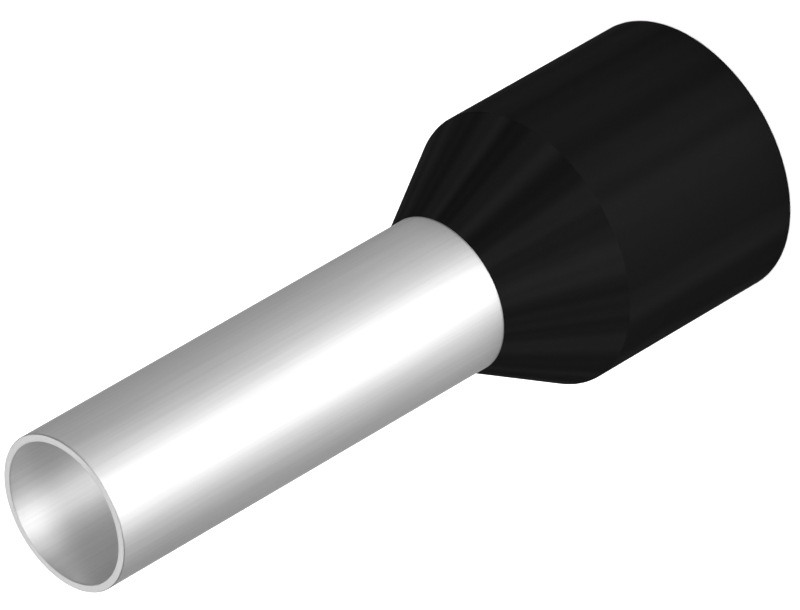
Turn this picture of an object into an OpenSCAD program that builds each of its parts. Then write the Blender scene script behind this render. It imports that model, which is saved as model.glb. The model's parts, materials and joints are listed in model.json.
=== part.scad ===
// Insulated wire ferrule: a thin metal sleeve whose flared end is snapped into a plastic collar.
// A stripped, stranded wire goes in at the collar's mouth, and the sleeve is crimped on its strands.
//
// The part stands on the collar's mouth. The origin is the centre of the mouth, on the surface that
// it stands on, and +Z runs along the axis to the tip of the sleeve. All sizes are in millimetres.

/* [Metal sleeve] */
// Length of the bare sleeve that stands out of the collar
pin_length = 12; // [6:0.5:25]
// Bore that takes the stripped conductor
conductor_bore = 3.5; // [2.2:0.1:4.6]
// Wall of the drawn metal tube
sleeve_wall = 0.2; // [0.15:0.01:0.3]
// Length of the flare, measured down its slope from the end of the bend
flare_length = 1.2; // [0.5:0.05:1.7]
// Bend radius between the tube and its flare, on the outside of the tube
flare_bend = 0.3; // [0.15:0.05:0.6]
// Rounding left on the tube's cut edges by tumbling
cut_edge = 0.03; // [0.01:0.005:0.06]

/* [Plastic collar] */
// Length of the whole collar
collar_length = 8; // [7.4:0.1:10]
// Length of its straight stretch, from the mouth up to the shoulder of the cone
mouth_length = 5.4; // [3:0.1:6]
// Bore that takes the insulated wire
insulation_bore = 6.3; // [5.6:0.1:8]
// Wall of the collar, both on the straight stretch and outside the flare
collar_wall = 0.3; // [0.2:0.02:0.5]
// Width of the thin ring in which the cone's nose ends, against the tube
nose_land = 0.02; // [0.01:0.01:0.2]
// Rounding on the shoulder, where the straight stretch meets the cone
shoulder_edge = 0.05; // [0.02:0.01:0.1]
// Rounding on the outer edge of the mouth
mouth_outer_edge = 0.04; // [0.02:0.01:0.1]
// Rounding on the inner edge of the mouth, which leads the wire in
mouth_inner_edge = 0.08; // [0.02:0.01:0.12]

/* [Fit] */
// Gap between the sleeve and its seat in the collar
seat_clearance = 0.005; // [0.002:0.001:0.02]

/* [Hidden] */

$fn = 180;
// Straight pieces that stand for one rounded corner or bend
arc_steps = 8;

bore_r = conductor_bore / 2;
tube_r = bore_r + sleeve_wall;
neck_r = tube_r + seat_clearance;
nose_r = neck_r + nose_land;
entry_r = insulation_bore / 2;
mouth_r = entry_r + collar_wall;
tip_z = collar_length + pin_length;

// The cone outside the collar runs straight from its nose to its shoulder. The seat, the flare and the
// funnel are all parallel to it, so each is placed by its depth under the cone's surface.
cone_angle = atan((mouth_r - nose_r) / (collar_length - mouth_length));
down_slope = [sin(cone_angle), -cos(cone_angle)];
off_slope = [cos(cone_angle), sin(cone_angle)];
seat_depth = collar_wall;
flare_depth = seat_depth + seat_clearance;
funnel_depth = flare_depth + sleeve_wall;

// Point at radius r on the line that lies parallel to the cone's side, at a depth under it
function under_cone(depth, r) =
    [r, (off_slope * [nose_r, collar_length] - depth - off_slope[0] * r) / off_slope[1]];

// The tube's bend, both faces of it and the corner of the collar inside it share one centre.
bend_centre = under_cone(flare_depth - flare_bend, tube_r + flare_bend);

// Point at a distance from the bend's centre towards the axis and some way down the slope
function below_bend(distance, along) = bend_centre - distance * off_slope + along * down_slope;

// Points along an arc in the half plane of the profile, X being the radius and Y the height
function arc(centre, radius, from, to) =
    [for (i = [0 : arc_steps])
        let (angle = from + (to - from) * i / arc_steps)
        centre + radius * [cos(angle), sin(angle)]];

// Half section of the sleeve: up the outside, over the tip, down the bore and round the flare
function sleeve_outline() = concat(
    arc(bend_centre, flare_bend, 180 + cone_angle, 180),
    arc([tube_r - cut_edge, tip_z - cut_edge], cut_edge, 0, 90),
    arc([bore_r + cut_edge, tip_z - cut_edge], cut_edge, 90, 180),
    arc(bend_centre, flare_bend + sleeve_wall, 180, 180 + cone_angle),
    arc(below_bend(flare_bend + sleeve_wall - cut_edge, flare_length - cut_edge), cut_edge,
        180 + cone_angle, 270 + cone_angle),
    arc(below_bend(flare_bend + cut_edge, flare_length - cut_edge), cut_edge,
        270 + cone_angle, 360 + cone_angle));

// Half section of the collar: the mouth, up the outside over the shoulder to the nose, down the neck that
// grips the tube, along the seat of the flare, over the catch that holds its rim, and down the funnel
function collar_outline() = concat(
    arc([mouth_r - mouth_outer_edge, mouth_outer_edge], mouth_outer_edge, -90, 0),
    arc([mouth_r - shoulder_edge, mouth_length - shoulder_edge * tan(cone_angle / 2)], shoulder_edge,
        0, cone_angle),
    [[nose_r, collar_length], [neck_r, collar_length]],
    arc(bend_centre, flare_bend - seat_clearance, 180, 180 + cone_angle),
    [below_bend(flare_bend - seat_clearance, flare_length + seat_clearance),
     below_bend(flare_bend + sleeve_wall, flare_length + seat_clearance),
     under_cone(funnel_depth, entry_r)],
    arc([entry_r + mouth_inner_edge, mouth_inner_edge], mouth_inner_edge, 180, 270));

// Drawn copper tube, tin plated, with one end flared
module metal_sleeve() {
    color([0.80, 0.80, 0.79])
    rotate_extrude()
        polygon(sleeve_outline());
}

// Moulded collar in black polypropylene
module plastic_collar() {
    color([0.09, 0.09, 0.09])
    rotate_extrude()
        polygon(collar_outline());
}

metal_sleeve();
plastic_collar();
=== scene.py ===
import json
from math import atan2, cos, radians, sin

import bmesh
import bpy
from mathutils import Matrix, Vector


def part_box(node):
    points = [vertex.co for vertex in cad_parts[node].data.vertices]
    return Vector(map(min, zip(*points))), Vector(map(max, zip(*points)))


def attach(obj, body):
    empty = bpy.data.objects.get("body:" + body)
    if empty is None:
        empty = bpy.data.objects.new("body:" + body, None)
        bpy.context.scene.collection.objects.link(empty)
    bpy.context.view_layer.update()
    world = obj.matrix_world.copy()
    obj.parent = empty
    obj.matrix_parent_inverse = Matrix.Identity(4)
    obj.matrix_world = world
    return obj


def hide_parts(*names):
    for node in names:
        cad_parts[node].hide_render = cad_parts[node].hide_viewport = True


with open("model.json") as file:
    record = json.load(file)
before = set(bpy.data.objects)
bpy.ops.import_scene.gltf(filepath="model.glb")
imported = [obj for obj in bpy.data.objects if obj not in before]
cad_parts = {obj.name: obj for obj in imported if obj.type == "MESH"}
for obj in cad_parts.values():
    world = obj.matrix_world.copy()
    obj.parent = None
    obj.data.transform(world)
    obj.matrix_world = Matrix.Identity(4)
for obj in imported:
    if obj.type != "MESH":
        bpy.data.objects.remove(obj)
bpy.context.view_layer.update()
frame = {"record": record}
scene = bpy.context.scene


# Metal sleeve
# A thin tube drawn from copper, cut square, tumbled and tin plated, so it is satin with faint lines along it.
# Its lower end is flared over a small bend. The flare snaps over a catch inside the collar, which holds it.
MM = 0.001
mounts = {mount["name"]: mount["dims"] for mount in frame["record"]["mounts"]}
bore_radius = mounts["conductor_bore"]["r_mm"] * MM
tube_radius = mounts["pin"]["r_mm"] * MM
entry_radius = mounts["wire_entry"]["r_mm"] * MM
tip_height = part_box("metal_sleeve")[1].z
collar_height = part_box("plastic_collar")[1].z
sleeve_wall = tube_radius - bore_radius
flare_length = 1.2 * MM
flare_bend = 0.3 * MM
cut_edge = 0.03 * MM
seat_clearance = 0.005 * MM
collar_wall = 0.3 * MM
shoulder_height = 5.4 * MM
nose_land = 0.02 * MM

# The flare, its seat and the funnel lie parallel to the cone outside the collar, each at its own depth.
neck_radius = tube_radius + seat_clearance
nose_radius = neck_radius + nose_land
mouth_radius = entry_radius + collar_wall
cone_angle = atan2(mouth_radius - nose_radius, collar_height - shoulder_height)
down_slope = Vector((sin(cone_angle), -cos(cone_angle)))
off_slope = Vector((cos(cone_angle), sin(cone_angle)))
flare_depth = collar_wall + seat_clearance
funnel_depth = flare_depth + sleeve_wall


def under_cone(depth, radius):
    """Point of the half section at that radius, on the line that lies at a depth under the cone's side."""
    nose = Vector((nose_radius, collar_height))
    return Vector((radius, (off_slope.dot(nose) - depth - off_slope.x * radius) / off_slope.y))


bend_centre = under_cone(flare_depth - flare_bend, tube_radius + flare_bend)


def below_bend(distance, along):
    """Point at a distance from the bend's centre towards the axis, and some way down the slope."""
    return bend_centre - distance * off_slope + along * down_slope


def turned_part_tree():
    """Turns a half section round the Z axis. The section is a ring of corners, X being the radius and Z the
    height, and the attribute 'rounding' is the radius that each corner gets."""
    tree = bpy.data.node_groups.new("turned part", "GeometryNodeTree")
    sockets = tree.interface
    sockets.new_socket("Half section", in_out="INPUT", socket_type="NodeSocketGeometry")
    for name, kind in (
        ("Steps round", "NodeSocketInt"),
        ("Steps in a corner", "NodeSocketInt"),
        ("Path radius", "NodeSocketFloat"),
        ("Sharp above", "NodeSocketFloat"),
        ("Material", "NodeSocketMaterial"),
    ):
        sockets.new_socket(name, in_out="INPUT", socket_type=kind)
    sockets.new_socket("Turned part", in_out="OUTPUT", socket_type="NodeSocketGeometry")

    def add(kind, **settings):
        node = tree.nodes.new(kind)
        for key, value in settings.items():
            setattr(node, key, value)
        return node

    def join(source, output, target, socket):
        tree.links.new(source.outputs[output], target.inputs[socket])

    given = add("NodeGroupInput")
    corners = add("GeometryNodeMeshToCurve")
    rounding = add("GeometryNodeInputNamedAttribute", data_type="FLOAT")
    rounding.inputs["Name"].default_value = "rounding"
    fillet = add("GeometryNodeFilletCurve", mode="POLY")
    join(given, "Half section", corners, "Mesh")
    join(corners, "Curve", fillet, "Curve")
    join(rounding, "Attribute", fillet, "Radius")
    join(given, "Steps in a corner", fillet, "Count")

    # The section is laid flat for the sweep: radius counts from the path, and minus the height becomes Y.
    place = add("GeometryNodeInputPosition")
    parts = add("ShaderNodeSeparateXYZ")
    from_path = add("ShaderNodeMath", operation="SUBTRACT")
    flipped = add("ShaderNodeMath", operation="MULTIPLY")
    flipped.inputs[1].default_value = -1
    flat = add("ShaderNodeCombineXYZ")
    lay_flat = add("GeometryNodeSetPosition")
    join(place, "Position", parts, "Vector")
    join(parts, "X", from_path, 0)
    join(given, "Path radius", from_path, 1)
    join(parts, "Z", flipped, 0)
    join(from_path, "Value", flat, "X")
    join(flipped, "Value", flat, "Y")
    join(fillet, "Curve", lay_flat, "Geometry")
    join(flat, "Vector", lay_flat, "Position")

    path = add("GeometryNodeCurvePrimitiveCircle", mode="RADIUS")
    upright = add("GeometryNodeSetCurveNormal", mode="Z_UP")
    sweep = add("GeometryNodeCurveToMesh")
    join(given, "Steps round", path, "Resolution")
    join(given, "Path radius", path, "Radius")
    join(path, "Curve", upright, "Curve")
    join(upright, "Curve", sweep, "Curve")
    join(lay_flat, "Geometry", sweep, "Profile Curve")

    smooth = add("GeometryNodeSetShadeSmooth", domain="FACE")
    bend = add("GeometryNodeInputMeshEdgeAngle")
    gentle = add("FunctionNodeCompare", data_type="FLOAT", operation="LESS_THAN")
    edges = add("GeometryNodeSetShadeSmooth", domain="EDGE")
    finish = add("GeometryNodeSetMaterial")
    whole = add("GeometryNodeRealizeInstances")
    made = add("NodeGroupOutput")
    join(sweep, "Mesh", smooth, "Geometry")
    join(smooth, "Geometry", edges, "Geometry")
    join(bend, "Unsigned Angle", gentle, 0)
    join(given, "Sharp above", gentle, 1)
    join(gentle, "Result", edges, "Shade Smooth")
    join(edges, "Geometry", whole, "Geometry")
    join(whole, "Geometry", finish, "Geometry")
    join(given, "Material", finish, "Material")
    join(finish, "Geometry", made, "Turned part")
    return tree


turning = turned_part_tree()
steps_round = 512
steps_in_corner = 12
sharp_above = radians(4)


def turned_piece(name, corners, material):
    """A plain mesh turned from corners of (radius, height, rounding), with its faces pointing outwards."""
    section = bpy.data.meshes.new(name + "_section")
    ring = [(index, (index + 1) % len(corners)) for index in range(len(corners))]
    section.from_pydata([(radius, 0, height) for radius, height, _ in corners], ring, [])
    rounding = section.attributes.new("rounding", "FLOAT", "POINT")
    rounding.data.foreach_set("value", [edge_radius for _, _, edge_radius in corners])
    blank = bpy.data.objects.new(name + "_blank", section)
    scene.collection.objects.link(blank)
    lathe = blank.modifiers.new("turned part", "NODES")
    lathe.node_group = turning
    settings = {
        "Steps round": steps_round,
        "Steps in a corner": steps_in_corner,
        "Path radius": tube_radius,
        "Sharp above": sharp_above,
        "Material": material,
    }
    for item in turning.interface.items_tree:
        if item.in_out == "INPUT" and item.name in settings:
            lathe[item.identifier] = settings[item.name]
    depsgraph = bpy.context.evaluated_depsgraph_get()
    mesh = bpy.data.meshes.new_from_object(blank.evaluated_get(depsgraph), depsgraph=depsgraph)
    mesh.name = name
    blank.modifiers.remove(lathe)
    bpy.data.objects.remove(blank)
    shell = bmesh.new()
    shell.from_mesh(mesh)
    bmesh.ops.recalc_face_normals(shell, faces=shell.faces)
    if shell.calc_volume(signed=True) < 0:
        bmesh.ops.reverse_faces(shell, faces=shell.faces)
    shell.to_mesh(mesh)
    shell.free()
    piece = bpy.data.objects.new(name, mesh)
    scene.collection.objects.link(piece)
    return piece


def spots(tree, size, stretch, seed):
    """Noise on Object coordinates: spots of that size, drawn out along Z by the stretch."""
    where = tree.nodes.new("ShaderNodeTexCoord")
    scaled = tree.nodes.new("ShaderNodeVectorMath")
    scaled.operation = "MULTIPLY"
    scaled.inputs[1].default_value = (1 / size, 1 / size, 1 / (size * stretch))
    noise = tree.nodes.new("ShaderNodeTexNoise")
    noise.noise_dimensions = "4D"
    noise.inputs["Scale"].default_value = 1
    noise.inputs["W"].default_value = seed
    tree.links.new(where.outputs["Object"], scaled.inputs[0])
    tree.links.new(scaled.outputs["Vector"], noise.inputs["Vector"])
    return noise.outputs["Fac"]


# Nearly all of the noise lies between these two values, round its middle of 0.5.
noise_low = 0.3
noise_high = 0.7


def spread(tree, value, low, high):
    """Takes noise from its own range to low and high."""
    stretched = tree.nodes.new("ShaderNodeMapRange")
    stretched.inputs["From Min"].default_value = noise_low
    stretched.inputs["From Max"].default_value = noise_high
    stretched.inputs["To Min"].default_value = low
    stretched.inputs["To Max"].default_value = high
    tree.links.new(value, stretched.inputs["Value"])
    return stretched.outputs["Result"]


def maths(tree, operation, first, second):
    """Result of a Math node. Each of the two values is a number or another node's output."""
    node = tree.nodes.new("ShaderNodeMath")
    node.operation = operation
    for socket, value in zip(node.inputs, (first, second)):
        if isinstance(value, (int, float)):
            socket.default_value = value
        else:
            tree.links.new(value, socket)
    return node.outputs["Value"]


def blended(tree, first, second, share):
    """That share of the first value, and the rest of the second."""
    part_of_first = maths(tree, "MULTIPLY", first, share)
    part_of_second = maths(tree, "MULTIPLY", second, 1 - share)
    return maths(tree, "ADD", part_of_first, part_of_second)


def two_tones(tree, factor, dark, light):
    """Colour that goes from dark to light as the factor goes from 0 to 1."""
    tones = tree.nodes.new("ShaderNodeMix")
    tones.data_type = "RGBA"
    tones.inputs["A"].default_value = (*dark, 1)
    tones.inputs["B"].default_value = (*light, 1)
    tree.links.new(factor, tones.inputs["Factor"])
    return tones.outputs["Result"]


def raised(tree, height, depth):
    """Normals of a surface that rises by that depth where the height goes from 0 to 1."""
    bump = tree.nodes.new("ShaderNodeBump")
    bump.inputs["Strength"].default_value = 1
    bump.inputs["Distance"].default_value = depth
    tree.links.new(height, bump.inputs["Height"])
    return bump.outputs["Normal"]


draw_line_width = 0.07 * MM
draw_line_stretch = 60
tin_cloud_size = 0.6 * MM
tin_cloud_stretch = 3
tin_grain_size = 0.03 * MM
tin_relief = 0.002 * MM
lines_in_tone = 0.75
lines_in_relief = 0.5
tin_dark = (0.665, 0.665, 0.665)
tin_light = (0.735, 0.735, 0.735)
tin_smooth = 0.585
tin_rough = 0.615


def tinned_copper():
    """Tin plate on drawn copper: satin silver, with faint draw lines, cloudy plating and a fine grain."""
    metal = bpy.data.materials.new("tinned_copper")
    metal.use_nodes = True
    tree = metal.node_tree
    shader = tree.nodes["Principled BSDF"]
    draw_lines = spots(tree, size=draw_line_width, stretch=draw_line_stretch, seed=2)
    clouds = spots(tree, size=tin_cloud_size, stretch=tin_cloud_stretch, seed=5)
    grain = spots(tree, size=tin_grain_size, stretch=1, seed=8)
    lines_and_clouds = blended(tree, draw_lines, clouds, lines_in_tone)
    lines_and_grain = blended(tree, draw_lines, grain, lines_in_relief)
    tone = two_tones(tree, spread(tree, lines_and_clouds, 0, 1), tin_dark, tin_light)
    shader.inputs["Metallic"].default_value = 1
    tree.links.new(tone, shader.inputs["Base Color"])
    tree.links.new(spread(tree, lines_and_clouds, tin_smooth, tin_rough), shader.inputs["Roughness"])
    tree.links.new(raised(tree, lines_and_grain, tin_relief), shader.inputs["Normal"])
    return metal


flare_end = below_bend(flare_bend, flare_length)
flare_end_inside = below_bend(flare_bend + sleeve_wall, flare_length)
bend_inside = under_cone(funnel_depth, bore_radius)
bend_outside = under_cone(flare_depth, tube_radius)
sleeve = turned_piece(
    "metal_sleeve_turned",
    [
        (tube_radius, tip_height, cut_edge),
        (bore_radius, tip_height, cut_edge),
        (*bend_inside, flare_bend + sleeve_wall),
        (*flare_end_inside, cut_edge),
        (*flare_end, cut_edge),
        (*bend_outside, flare_bend),
    ],
    tinned_copper(),
)
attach(sleeve, "root")
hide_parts("metal_sleeve")


# Plastic collar
# One moulded sleeve of black polypropylene. The straight mouth takes the wire's insulation, and the cone
# closes on the tube. Inside, a funnel leads the strands past the catch and into the flare.
mouth_outer_edge = 0.04 * MM
mouth_inner_edge = 0.08 * MM
shoulder_edge = 0.05 * MM
# The streaks round the collar are painted sheen and shade: bands of lighter and darker base colour.
mouth_painted_sheen = {"seed": 17.0, "scale": 4.0, "strength": 0.52}
cone_painted_sheen = {"seed": 9.0, "scale": 5.0, "strength": 1.15}
streak_detail = 1
mould_grain_size = 0.035 * MM
mould_relief = 0.002 * MM
plastic_cloud_size = 0.8 * MM
plastic_cloud_stretch = 2
# The base colour runs between these two tones along the painted streaks of sheen and shade.
plastic_dark = (0.00245, 0.00245, 0.00245)
plastic_light = (0.01195, 0.01195, 0.01195)
plastic_shine = 0.05
plastic_smooth = 0.46
plastic_rough = 0.56


def painted_sheen_streaks(tree):
    """Painted sheen and shade in streaks, as on facets: noise by the angle round Z, stronger on the cone."""
    where = tree.nodes.new("ShaderNodeTexCoord")
    level = tree.nodes.new("ShaderNodeVectorMath")
    level.operation = "MULTIPLY"
    level.inputs[1].default_value = (1, 1, 0)
    on_circle = tree.nodes.new("ShaderNodeVectorMath")
    on_circle.operation = "NORMALIZE"
    parts = tree.nodes.new("ShaderNodeSeparateXYZ")
    noise = tree.nodes.new("ShaderNodeTexNoise")
    noise.noise_dimensions = "4D"
    noise.inputs["Detail"].default_value = streak_detail
    tree.links.new(where.outputs["Object"], level.inputs[0])
    tree.links.new(level.outputs["Vector"], on_circle.inputs[0])
    tree.links.new(where.outputs["Object"], parts.inputs["Vector"])
    tree.links.new(on_circle.outputs["Vector"], noise.inputs["Vector"])
    on_cone = maths(tree, "GREATER_THAN", parts.outputs["Z"], shoulder_height)

    def by_height(kind):
        """The mouth's value of that kind below the shoulder, and the cone's above it."""
        step = maths(tree, "MULTIPLY", on_cone, cone_painted_sheen[kind] - mouth_painted_sheen[kind])
        return maths(tree, "ADD", step, mouth_painted_sheen[kind])

    tree.links.new(by_height("seed"), noise.inputs["W"])
    tree.links.new(by_height("scale"), noise.inputs["Scale"])
    noise_middle = (noise_low + noise_high) / 2
    swing = maths(tree, "SUBTRACT", noise.outputs["Fac"], noise_middle)
    return maths(tree, "ADD", maths(tree, "MULTIPLY", swing, by_height("strength")), noise_middle)


def black_polypropylene():
    """Moulded black polypropylene: nearly matt, with painted streaks of sheen and shade and a fine texture.
    """
    plastic = bpy.data.materials.new("black_polypropylene")
    plastic.use_nodes = True
    tree = plastic.node_tree
    shader = tree.nodes["Principled BSDF"]
    # Painted sheen and shade in streaks round the collar.
    streaks = painted_sheen_streaks(tree)
    grain = spots(tree, size=mould_grain_size, stretch=1, seed=3)
    clouds = spots(tree, size=plastic_cloud_size, stretch=plastic_cloud_stretch, seed=6)
    tone = two_tones(tree, spread(tree, streaks, 0, 1), plastic_dark, plastic_light)
    shader.inputs["Specular IOR Level"].default_value = plastic_shine
    tree.links.new(tone, shader.inputs["Base Color"])
    tree.links.new(spread(tree, clouds, plastic_smooth, plastic_rough), shader.inputs["Roughness"])
    tree.links.new(raised(tree, grain, mould_relief), shader.inputs["Normal"])
    return plastic


seat_top = under_cone(collar_wall, neck_radius)
catch_outside = below_bend(flare_bend - seat_clearance, flare_length + seat_clearance)
catch_inside = below_bend(flare_bend + sleeve_wall, flare_length + seat_clearance)
funnel_end = under_cone(funnel_depth, entry_radius)
collar = turned_piece(
    "plastic_collar_moulded",
    [
        (mouth_radius, 0, mouth_outer_edge),
        (mouth_radius, shoulder_height, shoulder_edge),
        (nose_radius, collar_height, 0),
        (neck_radius, collar_height, 0),
        (*seat_top, flare_bend - seat_clearance),
        (*catch_outside, 0),
        (*catch_inside, 0),
        (*funnel_end, 0),
        (entry_radius, 0, mouth_inner_edge),
    ],
    black_polypropylene(),
)
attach(collar, "root")
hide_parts("plastic_collar")


# Floor
# A round sheet of white paper, far larger than the part. The metal doesn't mirror it, and it casts no shadow,
# so that the lamps below it reach the metal.
paper_radius = 0.6
paper_steps = 64
paper_tone = (0.9, 0.9, 0.9, 1)
sheet = bmesh.new()
bmesh.ops.create_circle(sheet, cap_ends=True, segments=paper_steps, radius=paper_radius)
floor_mesh = bpy.data.meshes.new("floor")
sheet.to_mesh(floor_mesh)
sheet.free()
floor = bpy.data.objects.new("floor", floor_mesh)
scene.collection.objects.link(floor)
paper = bpy.data.materials.new("white_paper")
paper.use_nodes = True
paper_shader = paper.node_tree.nodes["Principled BSDF"]
paper_shader.inputs["Base Color"].default_value = paper_tone
paper_shader.inputs["Roughness"].default_value = 1
paper_shader.inputs["Specular IOR Level"].default_value = 0
floor_mesh.materials.append(paper)
floor.visible_glossy = False
floor.visible_shadow = False


# Light
# Plain soft studio light in a dim room: round soft boxes, each for one piece alone, and an even light for the
# paper. The metal mirrors the boxes round it, and the camera sees the room as plain white.
box_distance = 0.4
soft_boxes = {
    "metal_front": {"turn": -6, "rise": 15, "size": 0.1, "power": 0.98, "lights": sleeve},
    "metal_front_low": {"turn": -40, "rise": -35, "size": 0.3, "power": 0.09, "lights": sleeve},
    "metal_ground": {"turn": 0, "rise": -90, "size": 0.8, "power": 4.15, "lights": sleeve},
    "metal_left": {"turn": 120, "rise": -15, "size": 0.3, "power": 0.05, "lights": sleeve},
    "metal_above": {"turn": 180, "rise": 70, "size": 0.3, "power": 0.58, "lights": sleeve},
    "metal_behind": {"turn": 180, "rise": 35, "size": 0.34, "power": 0.21, "lights": sleeve},
    "metal_behind_low": {"turn": 180, "rise": -15, "size": 0.3, "power": 1.0, "lights": sleeve},
    "bore": {"turn": -17, "rise": -40, "size": 0.28, "power": 0.73, "lights": sleeve},
    "collar_front": {"turn": -9, "rise": 5, "size": 0.5, "power": 1.25, "lights": collar},
    "collar_left": {"turn": 85, "rise": 10, "size": 0.4, "power": 0.25, "lights": collar},
    "collar_right": {"turn": -85, "rise": 10, "size": 0.4, "power": 0.12, "lights": collar},
    "collar_behind": {"turn": 180, "rise": 50, "size": 0.5, "power": 1.0, "lights": collar},
}
room_level = 0.1
ceiling_strength = 6.2
ceiling_width = radians(80)
plain_white = (1, 1, 1, 1)

part_middle = Vector((0, 0, tip_height / 2))
for name, box in soft_boxes.items():
    sideways = radians(box["turn"])
    upwards = radians(box["rise"])
    towards = Vector((cos(upwards) * sin(sideways), -cos(upwards) * cos(sideways), sin(upwards)))
    panel = bpy.data.lights.new(name, "AREA")
    panel.shape = "DISK"
    panel.size = box["size"]
    panel.energy = box["power"]
    lamp = bpy.data.objects.new(name, panel)
    lamp.location = part_middle + box_distance * towards
    lamp.rotation_euler = towards.to_track_quat("Z", "Y").to_euler()
    scene.collection.objects.link(lamp)
    subject = bpy.data.collections.new(name + "_subject")
    subject.objects.link(box["lights"])
    lamp.light_linking.receiver_collection = subject
    lamp.visible_camera = False

paper_only = bpy.data.collections.new("paper_only")
paper_only.objects.link(floor)

# In the photograph the bore is as bright as if the tube's wall didn't shade it. So only the paper may shade
# this lamp, and the paper casts no shadow. Importance sampling would leave a dark stripe in the bore.
bpy.data.objects["bore"].light_linking.blocker_collection = paper_only
bpy.data.lights["bore"].cycles.use_multiple_importance_sampling = False

ceiling_data = bpy.data.lights.new("ceiling", "SUN")
ceiling_data.energy = ceiling_strength
ceiling_data.angle = ceiling_width
ceiling = bpy.data.objects.new("ceiling", ceiling_data)
scene.collection.objects.link(ceiling)
ceiling.light_linking.receiver_collection = paper_only

room = bpy.data.worlds.new("dim_room")
room.use_nodes = True
dim = room.node_tree.nodes["Background"]
dim.inputs["Color"].default_value = plain_white
dim.inputs["Strength"].default_value = room_level
white = room.node_tree.nodes.new("ShaderNodeBackground")
white.inputs["Color"].default_value = plain_white
rays = room.node_tree.nodes.new("ShaderNodeLightPath")
seen = room.node_tree.nodes.new("ShaderNodeMixShader")
room.node_tree.links.new(rays.outputs["Is Camera Ray"], seen.inputs["Fac"])
room.node_tree.links.new(dim.outputs["Background"], seen.inputs[1])
room.node_tree.links.new(white.outputs["Background"], seen.inputs[2])
room.node_tree.links.new(seen.outputs["Shader"], room.node_tree.nodes["World Output"].inputs["Surface"])
scene.world = room


# Camera
# A long lens, turned about its axis so that the standing part lies across the frame as in the photograph.
# Seen from it, mouth_in_view is the centre of the mouth, measured to the right, upwards and backwards.
lens = 419.0
sensor_width = 36.0
axis_to_sight = radians(54.5989)
roll = radians(29.9696)
mouth_in_view = Vector((6.64324, 3.50322, -218.52933)) * MM
across = Vector((1, 0, 0))
towards_tip = Vector((0, cos(axis_to_sight), sin(axis_to_sight)))
back = Vector((0, -sin(axis_to_sight), cos(axis_to_sight)))
right = -sin(roll) * across - cos(roll) * towards_tip
up = cos(roll) * across - sin(roll) * towards_tip
turn = Matrix((right, up, back)).transposed()
camera_data = bpy.data.cameras.new("camera")
camera_data.lens = lens
camera_data.sensor_width = sensor_width
camera_data.clip_start = 0.01
camera_data.clip_end = 5
camera = bpy.data.objects.new("camera", camera_data)
camera.matrix_world = Matrix.Translation(-(turn @ mouth_in_view)) @ turn.to_4x4()
scene.collection.objects.link(camera)
scene.camera = camera
scene.view_settings.view_transform = "Standard"
